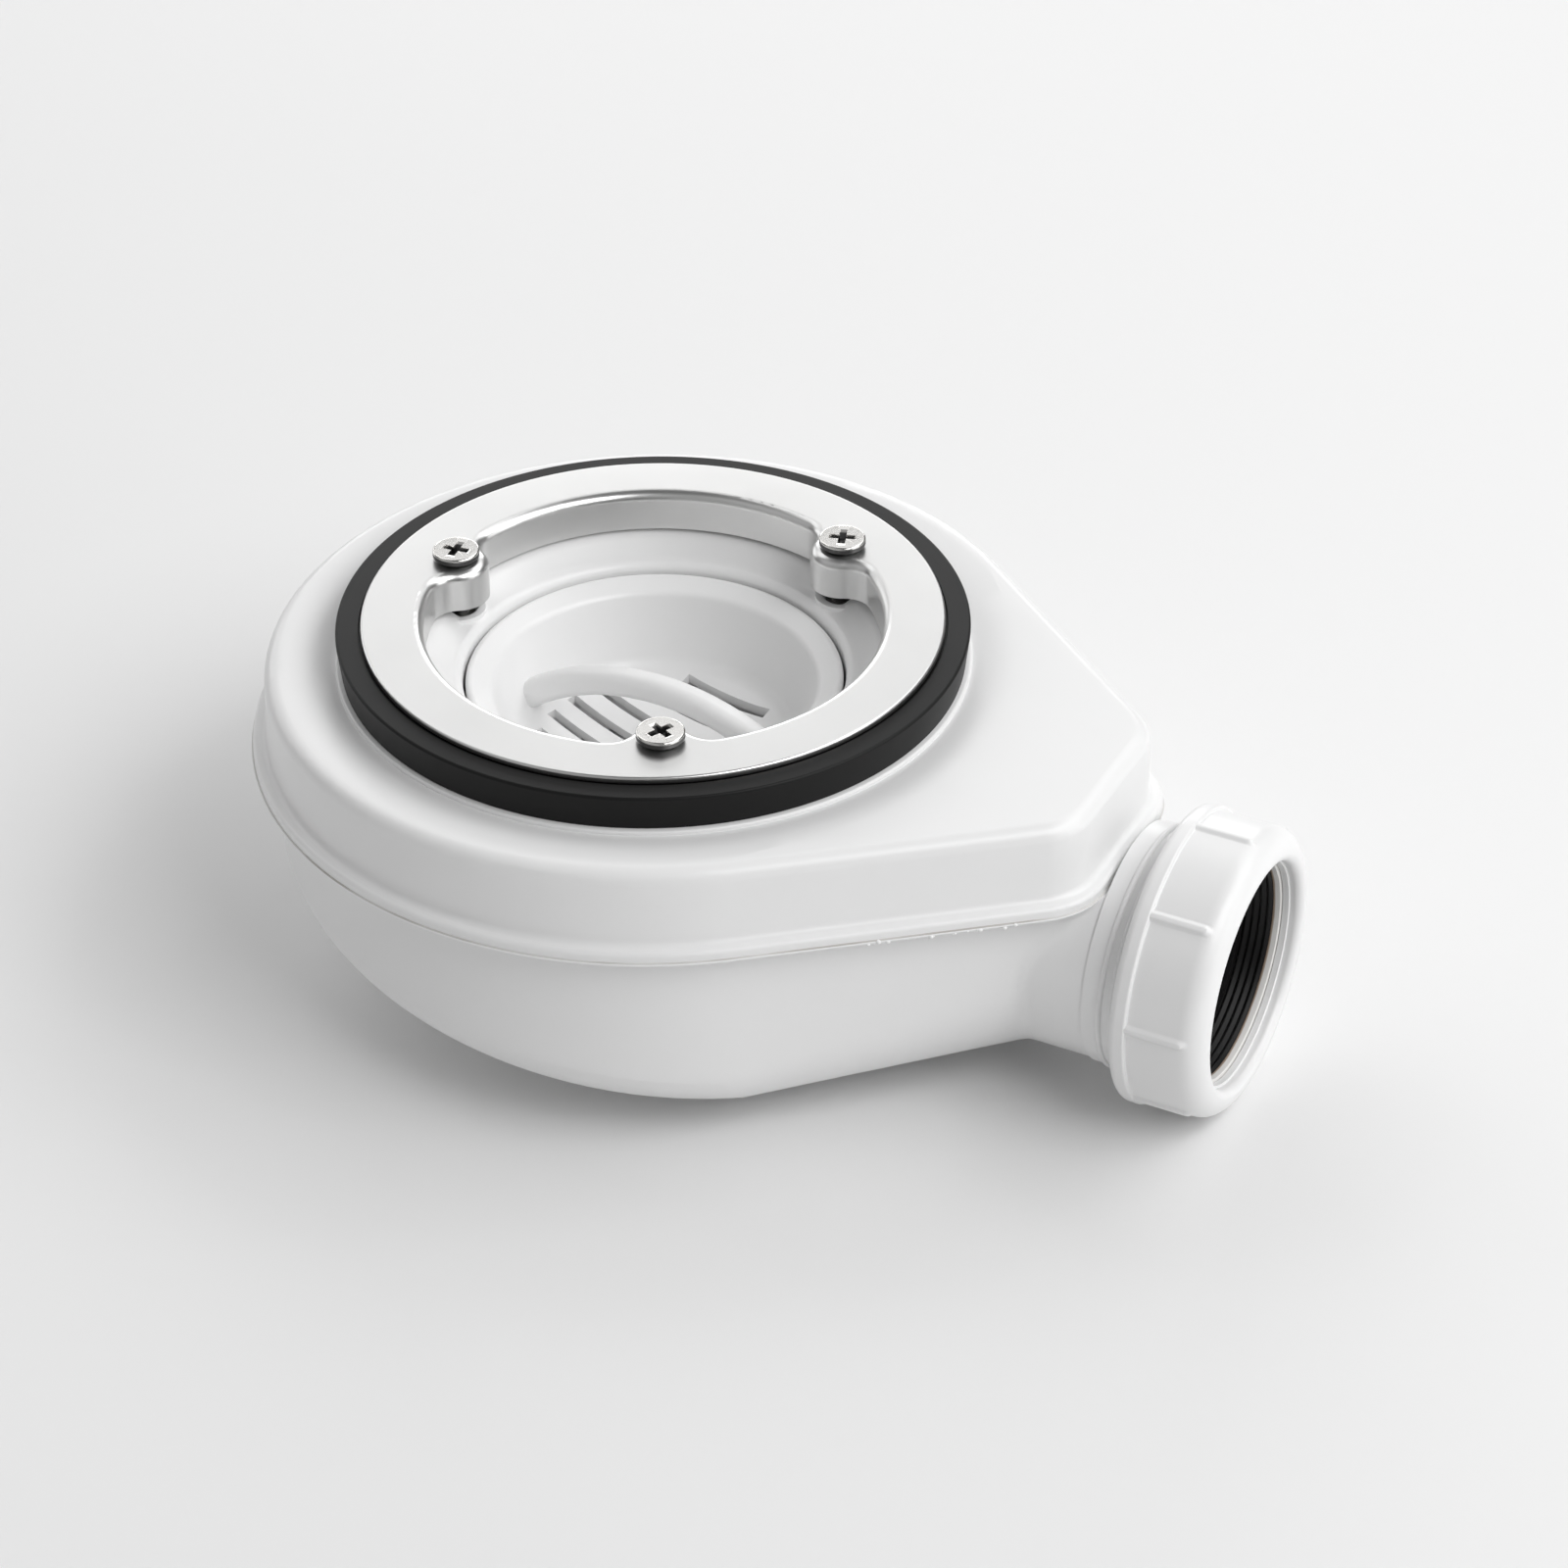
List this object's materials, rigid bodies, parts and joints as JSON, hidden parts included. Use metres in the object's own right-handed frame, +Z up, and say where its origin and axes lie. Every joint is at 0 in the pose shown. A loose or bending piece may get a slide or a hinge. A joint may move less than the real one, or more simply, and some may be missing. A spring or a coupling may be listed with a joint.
{
  "type": "shower waste",
  "caption": "Low shower tray waste with a teardrop trap body, steel clamp ring on a rubber seal, lift-out slotted strainer and a ribbed union nut outlet.",
  "frame": {"origin": "on the drain axis, in the plane where the shower tray sits on the rubber seal", "axes": "+Z up along the drain axis, +X out of the outlet, Y across it"},
  "size_m": [0.2014, 0.1532, 0.0744],
  "materials": {
    "white_plastic": "smooth glossy moulding",
    "stainless_sheet": "satin pressed sheet",
    "bright_screw": "bright",
    "insert_metal": "turned, plated",
    "black_rubber": "satin",
    "washer_plastic": "satin"
  },
  "bodies": {
    "trap_body": {"upper_shell": "white_plastic", "lower_shell": "white_plastic", "clamp_ring": "stainless_sheet", "clamp_screws": "bright_screw", "screw_inserts": "insert_metal", "flange_seal": "black_rubber"},
    "trap_insert": {"strainer_insert": "white_plastic", "insert_oring": "black_rubber", "water_cup": "white_plastic"},
    "seal_pack": {"slip_washer": "washer_plastic", "outlet_seal": "black_rubber"},
    "union_nut": {"outlet_nut": "white_plastic"}
  },
  "joints": [
    {"name": "insert_lift", "type": "slide", "parent": "trap_body", "child": "trap_insert", "axis": [0, 0, 1], "range_m": [0, 0.06]},
    {"name": "nut_travel", "type": "slide", "parent": "trap_body", "child": "seal_pack", "axis": [1, 0, 0], "range_m": [0, 0.00578]},
    {"name": "nut_turn", "type": "hinge", "parent": "seal_pack", "child": "union_nut", "pos_m": [0.116, 0, -0.0425], "axis": [1, 0, 0], "range_deg": [0, 900]}
  ],
  "couplings": [
    {"joint": "nut_travel", "follows": "nut_turn", "m_per_rad": 0.00036749}
  ]
}
